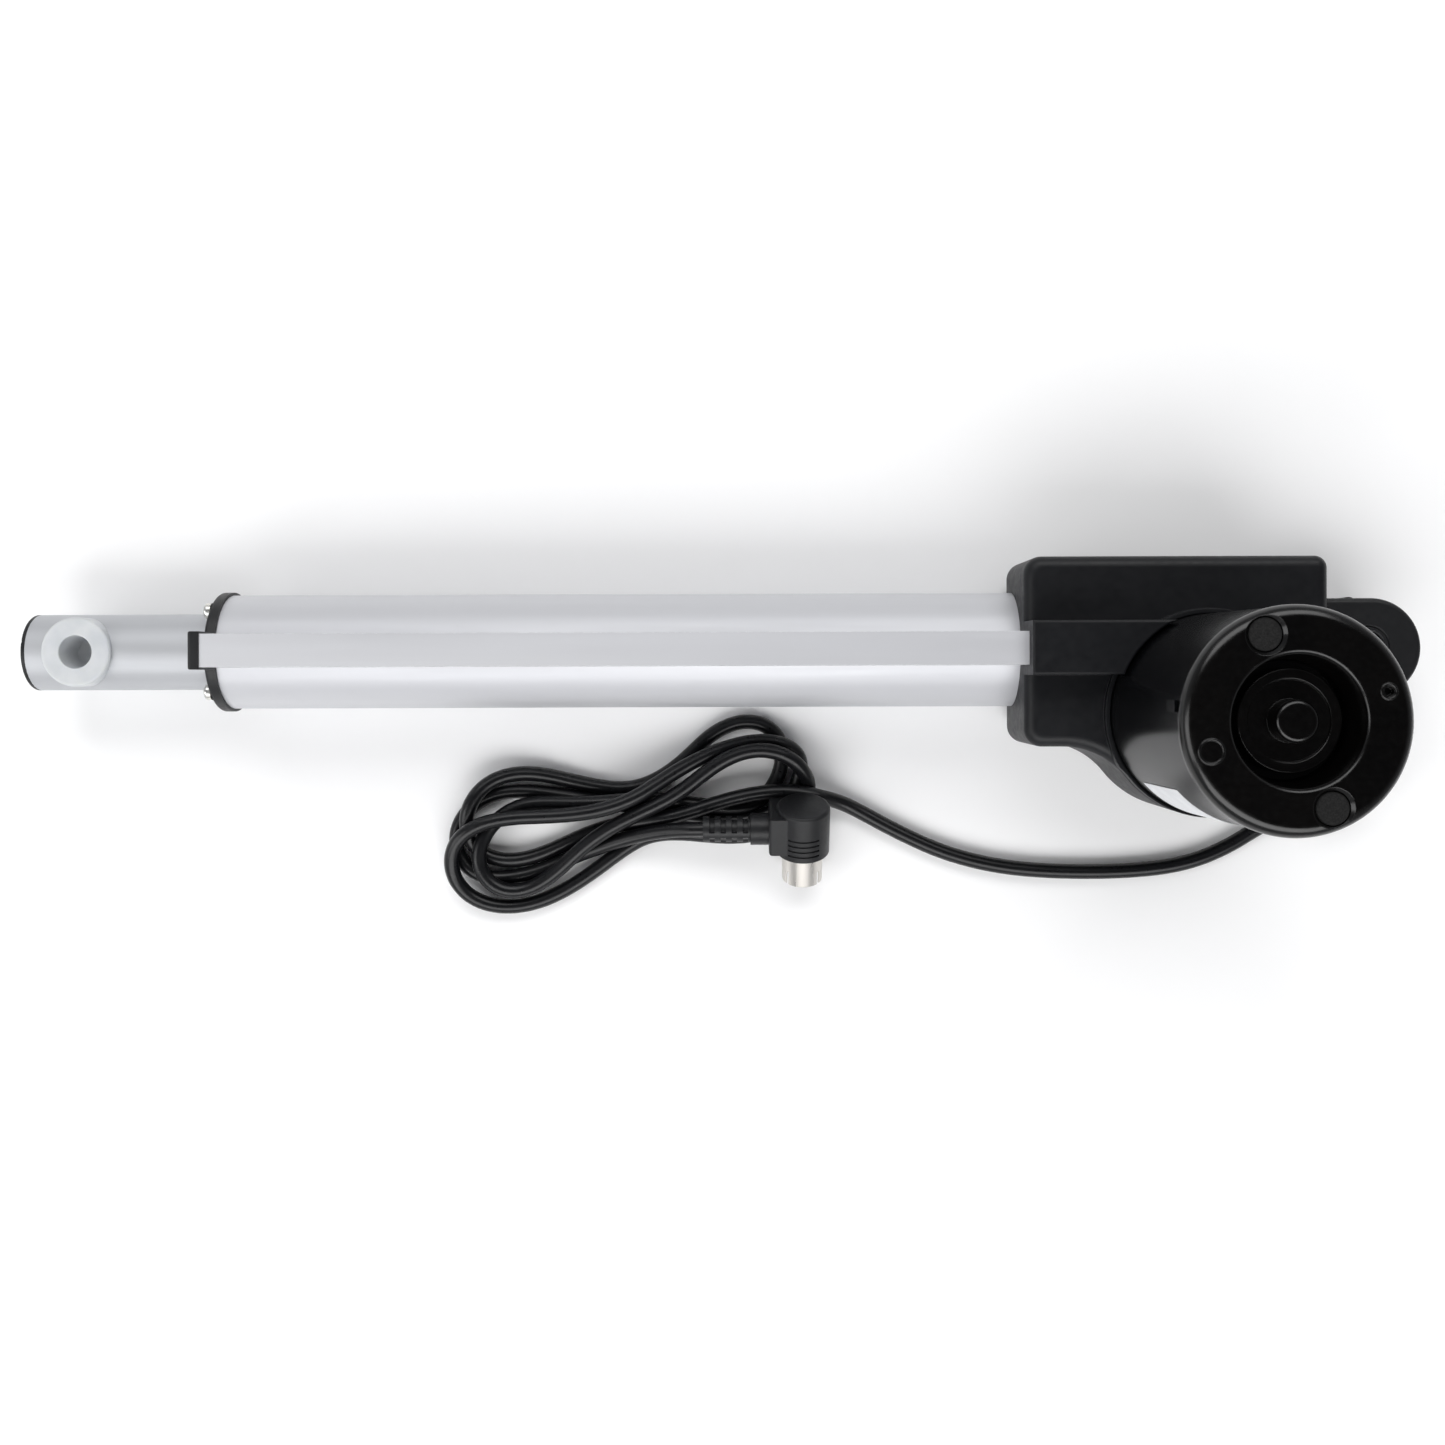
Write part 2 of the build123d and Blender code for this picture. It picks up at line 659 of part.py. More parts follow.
def eye_bush_half(side):
    """One half of the rod's eye: a flange saddled on the rod, and a sleeve to its middle."""
    top = side * eye_face_z
    flange = post(-pin_to_pin, 0, min(0.0, top), max(0.0, top), eye_flange_r)
    flange = fillet(edges_at_z(flange, top), 0.8)
    flange -= rod_x(-440, -360, rod_r + 0.02)
    sleeve = post(-pin_to_pin, 0, min(0.1 * side, top - side), max(0.1 * side, top - side), eye_spigot_r)
    half = flange + sleeve - post(-pin_to_pin, 0, -20, 20, pivot_bore_r)
    mouth = edges_at_z(half, top).sort_by(SortBy.RADIUS)[:1]
    return chamfer(mouth, 0.2)


def spindle_nut():
    head = rod_x(rod_rear_x, rod_rear_x + 16, tube_bore_r - 0.3)
    head = clear_of_ports(head, 0.4)
    head += block(-134, -126, -1.6, 1.6, 10, 22.4)
    spigot = rod_x(rod_rear_x - 14, rod_rear_x, rod_bore_r - 0.02)
    return head + spigot - rod_x(-160, -110, spindle_r + fit)


# ---- cable ----
def cable_gland():
    """The tapered, ribbed strain relief where the cable leaves the housing."""
    flange = rod_x(housing_rear_x, housing_rear_x + 2.2, 5.0, gland_y, gland_z)
    start = housing_rear_x + 2.2
    length = gland_end_x - start
    taper = Pos((start + gland_end_x) / 2, gland_y, gland_z) * Rot(0, 90, 0) * Cone(4.3, 3.2, length)
    for k in range(4):
        x = start + 1.4 + 2.3 * k
        taper -= rod_x(x, x + 0.9, 6, gland_y, gland_z) - rod_x(x - 1, x + 2, 3.25, gland_y, gland_z)
    gland = flange + taper + rod_x(-23, housing_rear_x, 3.0, gland_y, gland_z)
    return gland - rod_x(-24, gland_end_x + 1, cable_r + fit, gland_y, gland_z)


cable_route = [
    (-10.0, -21.5, 5.0),
    (2.5, -21.5, 5.0),
    (11.8, -28.6, 2.5),
    (14.1, -39.4, -2.5),
    (8.9, -48.0, -8.0),
    (-1.0, -51.5, -13.0),
    (-12.0, -53.5, -16.6),
    (-22.5, -58.5, cable_floor_z + 0.3),
    (-32.5, -65.0, cable_floor_z + 0.1),
    (-45.0, -70.3, cable_floor_z + 0.1),
    (-60.0, -72.9, cable_floor_z + 0.1),
    (-82.0, -73.6, cable_floor_z + 0.1),
    (-106.0, -72.3, cable_floor_z + 0.1),
    (-126.0, -67.6, cable_floor_z + 0.1),
    (-143.0, -59.8, cable_floor_z + 0.1),
    (-157.0, -52.0, cable_floor_z + 0.1),
    (-170.5, -47.5, cable_floor_z + 2.0),
]

tail_route = [
    (-220.1, -58.3, -8.8),
    (-213.5, -58.3, -8.8),
    (-206.6, -57.6, -7.1),
]


def corner_radii(points):
    """The largest arcs that the runs beside each corner allow."""
    radii = []
    for before, here, after in zip(points, points[1:], points[2:]):
        first = Vector(*here) - Vector(*before)
        second = Vector(*after) - Vector(*here)
        turn = first.get_angle(second)
        shorter = min(first.length, second.length)
        radii.append(0.45 * shorter / tan(radians(turn / 2)))
    return radii


def cord_tube(points, name):
    radii = corner_radii(points)
    path = FilletPolyline(*points, radius=radii)
    start = Vector(*points[1]) - Vector(*points[0])
    section = Plane(origin=points[0], z_dir=start) * Circle(cable_r)
    tube = sweep(section, path=path)
    expected = pi * cable_r**2 * path.length
    print(f"{name}: {path.length:.1f} mm long, volume {tube.volume:.0f} of {expected:.0f},", end=" ")
    print("radii", [round(r, 1) for r in radii])
    return tube


hank_outline = [
    (-292.3, -66.0), (-286.0, -51.0), (-272.0, -39.5), (-254.0, -37.4), (-234.0, -44.0),
    (-219.0, -40.0), (-205.0, -26.5), (-189.0, -20.6), (-177.5, -25.5), (-171.3, -36.0),
    (-171.3, -50.6), (-185.0, -51.6), (-206.5, -52.8), (-220.4, -53.8), (-220.4, -62.8),
    (-231.0, -65.6), (-250.0, -80.0), (-270.8, -87.0), (-286.5, -79.5),
]
hank_top_z = -5.4
left_window = [(-284.0, -63.0), (-268.0, -50.0), (-243.0, -53.0), (-262.0, -70.0), (-277.0, -75.0)]
right_window = [(-213.0, -45.0), (-196.0, -31.0), (-184.0, -33.0), (-184.0, -40.0), (-204.0, -48.0)]


def outline_face(points, radius):
    face = make_face(Polyline(*points, close=True))
    return fillet(face.vertices(), radius)


def cable_hank():
    """The outer shape of the bundled loops: two lobes with a narrow waist, lower under the plug."""
    face = outline_face(hank_outline, 1.6)
    face -= outline_face(left_window, 3.0)
    face -= outline_face(right_window, 2.0)
    hank = extrude(Pos(0, 0, floor_z) * face, hank_top_z - floor_z)
    return hank - block(-188, -165, -60, -44.5, -13.5, 0)


# ---- right-angle DIN plug, modelled upright and then laid in place ----
plug_place = Pos(plug_x, plug_y, plug_z) * Rot(plug_tilt - 90, 0, 0)


def plug_body():
    round_part = Pos(0, 0, 0.45) * Cylinder(plug_r, 16.4)
    round_part = fillet(edges_at_z(round_part, 8.65), 1.0)
    square = block(-11.1, 0, -6.9, 6.9, -5.9, 7.3)
    square = fillet(square.edges().filter_by_position(Axis.X, -11.11, -11.09), 1.0)
    body = round_part + square
    for k in range(4):
        groove = Pos(0, 0, -5.6 + 1.9 * k) * (Cylinder(plug_r + 1, 0.7) - Cylinder(plug_r - 0.5, 0.7))
        groove &= block(-5, 5, plug_r - 4, plug_r + 2, -8, 8) + block(-5, 5, -plug_r - 2, 4 - plug_r, -8, 8)
        body -= groove
    body += rod_x(-17.0, -11.1, 5.15)
    body -= post(0, 0, -9, -1.5, shell_r + fit)
    body -= rod_x(-18, -2, cable_r + fit)
    return plug_place * body


def plug_strain_relief():
    relief = rod_x(-32.3, -17.05, 4.2)
    for k in range(4):
        x = -30.2 + 3.6 * k
        window = block(x, x + 1.7, -5, 5, 0.9, 5) + block(x, x + 1.7, -5, 5, -5, -0.9)
        relief -= window - rod_x(-40, 0, 3.1)
    return plug_place * (relief - rod_x(-40, 0, cable_r + fit))


def plug_shell():
    shell = post(0, 0, -18.3, -1.6, shell_r) - post(0, 0, -20, -1.0, shell_r - 0.45)
    for angle, width in ((90, 2.6), (221, 1.0), (319, 1.0)):
        slot = block(4, 9, -width / 2, width / 2, -20, -13.6)
        shell -= Rot(0, 0, angle) * slot
    return plug_place * shell


def plug_insulator():
    disc = post(0, 0, -12.0, -2.2, shell_r - 0.5)
    for angle in range(-90, 91, 45):
        place = Rot(0, 0, angle + 90) * Pos(3.5, 0, 0)
        disc -= place * post(0, 0, -13, -2, 0.67)
    return plug_place * disc


def plug_pins():
    pins = []
    for angle in range(-90, 91, 45):
        pin = post(0, 0, -17.4, -2.3, 0.65)
        pin = fillet(edges_at_z(pin, -17.4), 0.45)
        pins.append(plug_place * Rot(0, 0, angle + 90) * Pos(3.5, 0, 0) * pin)
    return pins


def rating_label():
    """A thin blank label wrapped round the can's front left side, following its taper."""
    narrowing = (can_base_r - can_r) / (can_top_z - can_bottom_z)
    low_r = can_base_r - narrowing * (label_low_z - can_bottom_z) + 0.01
    high_r = can_base_r - narrowing * (label_high_z - can_bottom_z) + 0.01
    ring = turned([
        (low_r, label_low_z), (low_r + label_t, label_low_z),
        (high_r + label_t, label_high_z), (high_r, label_high_z),
    ])
    wedge = make_face(Polyline((0, 0), (60, -34), (60, 34), close=True))
    return ring & Pos(motor_x, motor_y, 20) * Rot(0, 0, label_angle) * extrude(wedge, 60)


# ---- the whole ----
def write(name, made):
    solids = made if isinstance(made, list) else [made]
    solids = [piece for item in solids for piece in item.solids()]
    export_step(Compound(children=solids), f"parts/{name}.step")


pieces = {
    "housing_upper_shell": housing_upper_shell,
    "housing_lower_cover": housing_lower_cover,
    "housing_screws": housing_screws,
    "outer_tube": outer_tube,
    "front_end_cap": front_end_cap,
    "end_cap_screws": end_cap_screws,
    "rod_wiper": rod_wiper,
    "front_guide_bush": front_guide_bush,
    "limit_switch_board": limit_switch_board,
    "limit_switches": limit_switches,
    "rear_lug": rear_lug,
    "rear_lug_bush": rear_lug_bush,
    "motor_can": motor_can,
    "motor_end_cap": motor_end_cap,
    "motor_cap_pads": motor_cap_pads,
    "motor_bolts": motor_bolts,
    "motor_gasket": motor_gasket,
    "motor_magnets": motor_magnets,
    "brush_holder": brush_holder,
    "brushes": brushes,
    "lower_motor_bush": lambda: bush_z(21.9, 28.0, 6.0),
    "upper_motor_bush": lambda: bush_z(80.0, 85.8, 6.0),
    "worm_end_bush": lambda: bush_z(-16.9, -12.4, 5.5),
    "worm_thrust_pad": worm_thrust_pad,
    "rating_label": rating_label,
    "motor_shaft": motor_shaft,
    "worm": worm,
    "armature_core": armature_core,
    "armature_windings": armature_windings,
    "commutator": commutator,
    "spindle": spindle,
    "spindle_front_guide": spindle_front_guide,
    "spindle_lock_nut": spindle_lock_nut,
    "worm_wheel": worm_wheel,
    "bearing_outer_rings": bearing_outer_rings,
    "bearing_inner_rings": bearing_inner_rings,
    "bearing_balls": bearing_balls,
    "inner_rod": inner_rod,
    "rod_end_plug": rod_end_plug,
    "eye_bush_upper": lambda: eye_bush_half(1),
    "eye_bush_lower": lambda: eye_bush_half(-1),
    "spindle_nut": spindle_nut,
    "cable_gland": cable_gland,
    "cable": lambda: cord_tube(cable_route, "cable"),
    "cable_hank": cable_hank,
    "cable_tail": lambda: cord_tube(tail_route, "cable_tail"),
    "plug_body": plug_body,
    "plug_strain_relief": plug_strain_relief,
    "plug_shell": plug_shell,
    "plug_insulator": plug_insulator,
    "plug_pins": plug_pins,
}

for name, make in pieces.items():
    write(name, make())
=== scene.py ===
import bpy
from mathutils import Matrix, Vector


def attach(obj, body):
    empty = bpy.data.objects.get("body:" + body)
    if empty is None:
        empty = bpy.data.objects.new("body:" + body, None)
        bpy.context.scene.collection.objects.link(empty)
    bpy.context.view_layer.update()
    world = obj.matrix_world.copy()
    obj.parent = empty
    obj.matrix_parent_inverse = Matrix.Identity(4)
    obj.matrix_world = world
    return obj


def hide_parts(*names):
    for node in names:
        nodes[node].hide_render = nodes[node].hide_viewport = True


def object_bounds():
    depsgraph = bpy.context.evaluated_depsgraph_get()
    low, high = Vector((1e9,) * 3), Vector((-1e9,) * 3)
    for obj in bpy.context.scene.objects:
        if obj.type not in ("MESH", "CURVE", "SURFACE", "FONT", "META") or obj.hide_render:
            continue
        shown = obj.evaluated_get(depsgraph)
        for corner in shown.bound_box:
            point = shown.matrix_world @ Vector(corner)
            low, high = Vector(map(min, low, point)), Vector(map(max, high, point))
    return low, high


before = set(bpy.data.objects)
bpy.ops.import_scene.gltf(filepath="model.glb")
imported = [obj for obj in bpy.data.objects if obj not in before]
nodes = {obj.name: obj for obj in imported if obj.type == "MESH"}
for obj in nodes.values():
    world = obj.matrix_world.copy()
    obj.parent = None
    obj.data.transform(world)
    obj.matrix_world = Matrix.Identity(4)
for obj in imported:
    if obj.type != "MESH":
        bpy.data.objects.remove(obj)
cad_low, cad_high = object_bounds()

# A lift-chair actuator lying on a pale floor, seen from straight above. Lengths are in metres, in
# the CAD model's frame: the origin is at the rear pivot, the rod points along -X, and +Z is up.

floor_z = cad_low.z
cable_r = 0.00245
micron = 0.000001


def add_object(name, data):
    made = bpy.data.objects.new(name, data)
    bpy.context.collection.objects.link(made)
    return made


# ---- camera ----
camera_place = (-0.1945, -0.0078, 0.450)
camera_turn = (0.0, 0.0, -0.0033)    # radians; it looks straight down
camera_settings = {
    "sensor_width": 36.0,
    "lens": 35.2,
    "shift_x": -0.0121,
    "shift_y": -0.0329,
    "clip_start": 0.01,
    "clip_end": 20.0,
}


def make_camera():
    data = bpy.data.cameras.new("camera")
    for setting, value in camera_settings.items():
        setattr(data, setting, value)
    camera = add_object("camera", data)
    camera.location = camera_place
    camera.rotation_euler = camera_turn
    bpy.context.scene.camera = camera


# ---- the cable ----
# the control points of its one spline, from the gland to the plug
cable_route = [
    # out of the gland and along the floor
    (-0.0100, -0.0215, 0.0050), (0.0025, -0.0215, 0.0050), (0.0118, -0.0286, 0.0025),
    (0.0141, -0.0394, -0.0025), (0.0089, -0.0480, -0.0080), (-0.0010, -0.0515, -0.0130),
    (-0.0120, -0.0535, -0.0166), (-0.0225, -0.0585, -0.01825), (-0.0325, -0.0650, -0.01845),
    (-0.0450, -0.0703, -0.01845), (-0.0600, -0.0729, -0.01845), (-0.0820, -0.0736, -0.01845),
    (-0.1060, -0.0723, -0.01845), (-0.1260, -0.0676, -0.01845), (-0.1430, -0.0598, -0.01845),
    (-0.1570, -0.0520, -0.01845),
    # first loop on the left
    (-0.1632, -0.0493, -0.0162), (-0.1677, -0.0480, -0.0136), (-0.1727, -0.0467, -0.0126),
    (-0.1783, -0.0460, -0.0133), (-0.1842, -0.0461, -0.0136), (-0.1907, -0.0469, -0.0136),
    (-0.1975, -0.0484, -0.0134), (-0.2041, -0.0503, -0.0130), (-0.2104, -0.0524, -0.0130),
    (-0.2170, -0.0543, -0.0135), (-0.2241, -0.0554, -0.0146), (-0.2314, -0.0564, -0.0161),
    (-0.2387, -0.0579, -0.0172), (-0.2458, -0.0604, -0.0180), (-0.2525, -0.0635, -0.0184),
    (-0.2592, -0.0665, -0.0185), (-0.2660, -0.0686, -0.0185), (-0.2726, -0.0691, -0.0185),
    (-0.2786, -0.0676, -0.0184), (-0.2829, -0.0639, -0.0173), (-0.2847, -0.0589, -0.0152),
    (-0.2844, -0.0534, -0.0136), (-0.2823, -0.0481, -0.0137), (-0.2783, -0.0436, -0.0148),
    (-0.2726, -0.0408, -0.0160), (-0.2657, -0.0399, -0.0171), (-0.2581, -0.0408, -0.0178),
    (-0.2501, -0.0428, -0.0183), (-0.2422, -0.0445, -0.0185), (-0.2347, -0.0455, -0.0185),
    (-0.2276, -0.0447, -0.0185), (-0.2209, -0.0417, -0.0185),
    # first loop on the right, the nearest to the tube
    (-0.2149, -0.0375, -0.0185), (-0.2099, -0.0329, -0.0185), (-0.2054, -0.0286, -0.0185),
    (-0.2000, -0.0250, -0.0185), (-0.1935, -0.0230, -0.0185), (-0.1869, -0.0239, -0.0185),
    (-0.1822, -0.0277, -0.0185), (-0.1804, -0.0333, -0.0185), (-0.1811, -0.0391, -0.0185),
    (-0.1834, -0.0443, -0.0185), (-0.1867, -0.0484, -0.0185), (-0.1911, -0.0510, -0.0185),
    (-0.1969, -0.0518, -0.0184), (-0.2037, -0.0513, -0.0182), (-0.2109, -0.0503, -0.0175),
    (-0.2182, -0.0491, -0.0162), (-0.2255, -0.0486, -0.0148), (-0.2332, -0.0489, -0.0139),
    (-0.2411, -0.0495, -0.0135), (-0.2491, -0.0497, -0.0137), (-0.2568, -0.0495, -0.0143),
    (-0.2638, -0.0498, -0.0147),
    # second loop on the left
    (-0.2698, -0.0517, -0.0149), (-0.2745, -0.0551, -0.0147), (-0.2780, -0.0593, -0.0139),
    (-0.2801, -0.0641, -0.0131), (-0.2804, -0.0692, -0.0131), (-0.2785, -0.0740, -0.0135),
    (-0.2745, -0.0775, -0.0140), (-0.2692, -0.0788, -0.0143), (-0.2634, -0.0776, -0.0143),
    (-0.2581, -0.0746, -0.0140), (-0.2534, -0.0708, -0.0136), (-0.2492, -0.0668, -0.0131),
    (-0.2448, -0.0630, -0.0127), (-0.2399, -0.0595, -0.0122), (-0.2343, -0.0562, -0.0115),
    (-0.2284, -0.0533, -0.0110), (-0.2224, -0.0505, -0.0108), (-0.2168, -0.0476, -0.0109),
    # second loop on the right
    (-0.2116, -0.0441, -0.0110), (-0.2068, -0.0403, -0.0109), (-0.2015, -0.0365, -0.0105),
    (-0.1955, -0.0335, -0.0100), (-0.1889, -0.0321, -0.0097), (-0.1825, -0.0329, -0.0100),
    (-0.1773, -0.0355, -0.0111), (-0.1737, -0.0395, -0.0130), (-0.1718, -0.0441, -0.0160),
    (-0.1724, -0.0491, -0.0181), (-0.1748, -0.0536, -0.0185), (-0.1787, -0.0571, -0.0185),
    (-0.1842, -0.0596, -0.0185), (-0.1910, -0.0610, -0.0185), (-0.1985, -0.0615, -0.0185),
    (-0.2062, -0.0609, -0.0185), (-0.2133, -0.0602, -0.0185), (-0.2199, -0.0602, -0.0185),
    (-0.2260, -0.0614, -0.0185),
    # third loop on the left, the widest
    (-0.2315, -0.0643, -0.0185), (-0.2369, -0.0681, -0.0185), (-0.2424, -0.0722, -0.0185),
    (-0.2484, -0.0763, -0.0185), (-0.2549, -0.0801, -0.0185), (-0.2621, -0.0830, -0.0184),
    (-0.2699, -0.0844, -0.0182), (-0.2775, -0.0837, -0.0176), (-0.2838, -0.0808, -0.0167),
    (-0.2880, -0.0760, -0.0154), (-0.2896, -0.0702, -0.0138), (-0.2887, -0.0645, -0.0120),
    (-0.2854, -0.0598, -0.0104), (-0.2801, -0.0564, -0.0098), (-0.2736, -0.0546, -0.0097),
    (-0.2661, -0.0538, -0.0098), (-0.2580, -0.0536, -0.0098), (-0.2498, -0.0531, -0.0095),
    (-0.2418, -0.0520, -0.0091), (-0.2345, -0.0500, -0.0089), (-0.2280, -0.0472, -0.0096),
    (-0.2218, -0.0433, -0.0109), (-0.2154, -0.0392, -0.0122),
    # third loop on the right
    (-0.2086, -0.0355, -0.0132), (-0.2016, -0.0324, -0.0138), (-0.1942, -0.0302, -0.0140),
    (-0.1867, -0.0293, -0.0138), (-0.1800, -0.0305, -0.0139), (-0.1756, -0.0336, -0.0158),
    (-0.1742, -0.0381, -0.0181), (-0.1754, -0.0433, -0.0185), (-0.1778, -0.0483, -0.0185),
    (-0.1819, -0.0523, -0.0185), (-0.1878, -0.0551, -0.0185), (-0.1950, -0.0564, -0.0185),
    (-0.2030, -0.0563, -0.0185), (-0.2111, -0.0551, -0.0185), (-0.2191, -0.0534, -0.0185),
    (-0.2268, -0.0518, -0.0185), (-0.2342, -0.0505, -0.0185), (-0.2415, -0.0494, -0.0185),
    # last loop on the left, and up to the plug
    (-0.2493, -0.0481, -0.0185), (-0.2576, -0.0468, -0.0185), (-0.2657, -0.0459, -0.0185),
    (-0.2731, -0.0462, -0.0185), (-0.2796, -0.0483, -0.0185), (-0.2848, -0.0522, -0.0185),
    (-0.2882, -0.0575, -0.0185), (-0.2889, -0.0635, -0.0185), (-0.2870, -0.0692, -0.0185),
    (-0.2827, -0.0731, -0.0185), (-0.2766, -0.0749, -0.0185), (-0.2692, -0.0745, -0.0185),
    (-0.2616, -0.0727, -0.0185), (-0.2543, -0.0698, -0.0184), (-0.2474, -0.0669, -0.0179),
    (-0.2408, -0.0644, -0.0166), (-0.2345, -0.0622, -0.0150), (-0.2279, -0.0603, -0.0131),
    (-0.2214, -0.0589, -0.0112), (-0.2152, -0.0581, -0.0092),
    # level into the plug's strain relief
    (-0.2095, -0.0578, -0.0076), (-0.2030, -0.0576, -0.0071), (-0.1970, -0.0576, -0.0071),
    (-0.1900, -0.0576, -0.0071),
]


def make_cable():
    data = bpy.data.curves.new("control_cable", "CURVE")
    data.dimensions = "3D"
    data.bevel_depth = cable_r
    data.bevel_resolution = 7
    data.use_fill_caps = True
    data.resolution_u = 6
    spline = data.splines.new("NURBS")
    spline.points.add(len(cable_route) - 1)    # a new spline has one point already
    for point, place in zip(spline.points, cable_route):
        point.co = (*place, 1.0)
    spline.order_u = 3
    spline.use_endpoint_u = True
    spline.use_smooth = True
    cable = add_object("control_cable", data)
    data.materials.append(materials["cable_black"])
    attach(cable, "housing")
    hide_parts("cable", "cable_hank", "cable_tail")


# ---- materials ----
# the scale of a noise pattern along x, y and z: a smaller one draws it out that way
even = (1, 1, 1)
along_x = (0.04, 1, 1)
along_z = (1, 1, 0.04)
along_yz = (1, 0.05, 0.05)
scratched = (0.35, 1, 1)

# noise values, mostly between 0.3 and 0.7, that turn into none and all of an effect
patch_noise = (0.35, 0.65)
gloss_noise = (0.3, 0.7)
rub_and_highlight_noise = (0.42, 0.6)
scuff_noise = (0.66, 0.72)

gloss_finer_than_patches = 6
# the lighter edge patches set here are partly rubbed wear and partly a painted highlight along the
# rims
rubs_and_highlights_per_metre = 900.0
scratches_per_metre = 240.0
strongest_rub_and_highlight = 0.8
flat_cosine, sharp_cosine = 0.99, 0.86    # between the true and the softened normal
glow_depth = (0.004, 0.004, 0.003)    # of red, green and blue light in nylon


class Graph:
    """The shader nodes of one material."""

    def __init__(self, name):
        self.material = bpy.data.materials.new(name)
        self.material.use_nodes = True
        self.tree = self.material.node_tree
        self.shader = self.tree.nodes["Principled BSDF"]
        self.place = self.add("TexCoord").outputs["Object"]

    def add(self, kind, **settings):
        node = self.tree.nodes.new("ShaderNode" + kind)
        for name, value in settings.items():
            setattr(node, name, value)
        return node

    def join(self, source, target):
        self.tree.links.new(source, target)

    def noise(self, per_metre, stretch=even, detail=3.0, roughness=0.5):
        """Noise in the object's own coordinates."""
        mapping = self.add("Mapping")
        mapping.inputs["Scale"].default_value = stretch
        noise = self.add("TexNoise")
        noise.inputs["Scale"].default_value = per_metre
        noise.inputs["Detail"].default_value = detail
        noise.inputs["Roughness"].default_value = roughness
        self.join(self.place, mapping.inputs["Vector"])
        self.join(mapping.outputs["Vector"], noise.inputs["Vector"])
        return noise.outputs["Fac"]

    def spread(self, value, old, new=(0.0, 1.0)):
        """Stretch a value from one range to another."""
        node = self.add("MapRange", clamp=True)
        limits = dict(zip(("From Min", "From Max", "To Min", "To Max"), (*old, *new)))
        for name, number in limits.items():
            node.inputs[name].default_value = number
        self.join(value, node.inputs["Value"])
        return node.outputs["Result"]

    def math(self, operation, first, second):
        node = self.add("Math", operation=operation)
        self.join(first, node.inputs[0])
        self.join(second, node.inputs[1])
        return node.outputs["Value"]

    def blend(self, factor, first, second):
        """Mix two colours; either may be a plain colour or another node's output."""
        node = self.add("Mix", data_type="RGBA")
        self.join(factor, node.inputs["Factor"])
        for name, value in (("A", first), ("B", second)):
            socket = [s for s in node.inputs if s.name == name and s.type == "RGBA"][0]
            if isinstance(value, tuple):
                socket.default_value = (*value, 1.0)
            else:
                self.join(value, socket)
        return [s for s in node.outputs if s.type == "RGBA"][0]

    def rounded(self, radius):
        """The surface's direction with its sharp edges softened."""
        bevel = self.add("Bevel", samples=4)
        bevel.inputs["Radius"].default_value = radius
        return bevel.outputs["Normal"]

    def true_normal(self):
        return self.add("NewGeometry").outputs["Normal"]

    def edges(self, normal):
        """1 along the edges that the softened normal rounds off, and 0 on flat surfaces."""
        dot = self.add("VectorMath", operation="DOT_PRODUCT")
        self.join(normal, dot.inputs[0])
        self.join(self.true_normal(), dot.inputs[1])
        return self.spread(dot.outputs["Value"], (flat_cosine, sharp_cosine))


def finish(
    name, colour, second, metal=0.0, rough=(0.4, 0.5), mottle=60.0, grain=3000.0, stretch=even,
    depth=10 * micron, edge=None, edge_radius=0.0003, marks=0.0, specular=0.5, soft=0.0,
):
    """A moulded, painted or drawn surface: mottled colour, uneven gloss, grain, and lightened
    edges that are partly wear and partly painted highlight.

    colour and second are mottled together, and rough is the least and most roughness. mottle and
    grain are how many patches and grains there are in a metre, stretch draws both out, and depth
    is the grain's height. edge is the colour that sharp edges lighten to, partly as rubbed wear
    and partly as a painted highlight along the rims, and edge_radius is how wide that band is.
    marks is how much scuffs dull the surface, and soft is how much light passes under it.
    """
    g = Graph(name)
    patches = g.spread(g.noise(mottle, stretch=stretch, detail=4.0), patch_noise)
    base = g.blend(patches, colour, second)
    sheen = g.noise(
        mottle * gloss_finer_than_patches, stretch=stretch, detail=5.0, roughness=0.6,
    )
    gloss = g.spread(sheen, gloss_noise, rough)
    height = g.noise(grain, stretch=stretch, detail=2.0)
    # edges lighten towards edge in noisy patches: partly rubbed wear, partly a painted highlight
    # along the rims
    if edge:
        normal = g.rounded(edge_radius)
        rubs_and_highlights = g.spread(g.noise(rubs_and_highlights_per_metre), rub_and_highlight_noise, (0.0, strongest_rub_and_highlight))
        base = g.blend(g.math("MULTIPLY", g.edges(normal), rubs_and_highlights), base, edge)
    else:
        normal = g.true_normal()
    if marks:
        scratches = g.noise(scratches_per_metre, stretch=scratched, detail=6.0, roughness=0.75)
        scuffs = g.spread(scratches, scuff_noise, (0.0, marks))
        gloss = g.math("ADD", gloss, scuffs)
        height = g.math("SUBTRACT", height, scuffs)
    bump = g.add("Bump")
    bump.inputs["Strength"].default_value = 1.0
    bump.inputs["Distance"].default_value = depth
    g.join(height, bump.inputs["Height"])
    g.join(normal, bump.inputs["Normal"])
    sockets = g.shader.inputs
    g.join(base, sockets["Base Color"])
    g.join(gloss, sockets["Roughness"])
    g.join(bump.outputs["Normal"], sockets["Normal"])
    sockets["Metallic"].default_value = metal
    sockets["Specular IOR Level"].default_value = specular
    if soft:
        sockets["Subsurface Weight"].default_value = soft
        sockets["Subsurface Radius"].default_value = glow_depth
        sockets["Subsurface Scale"].default_value = 1.0
    return g.material
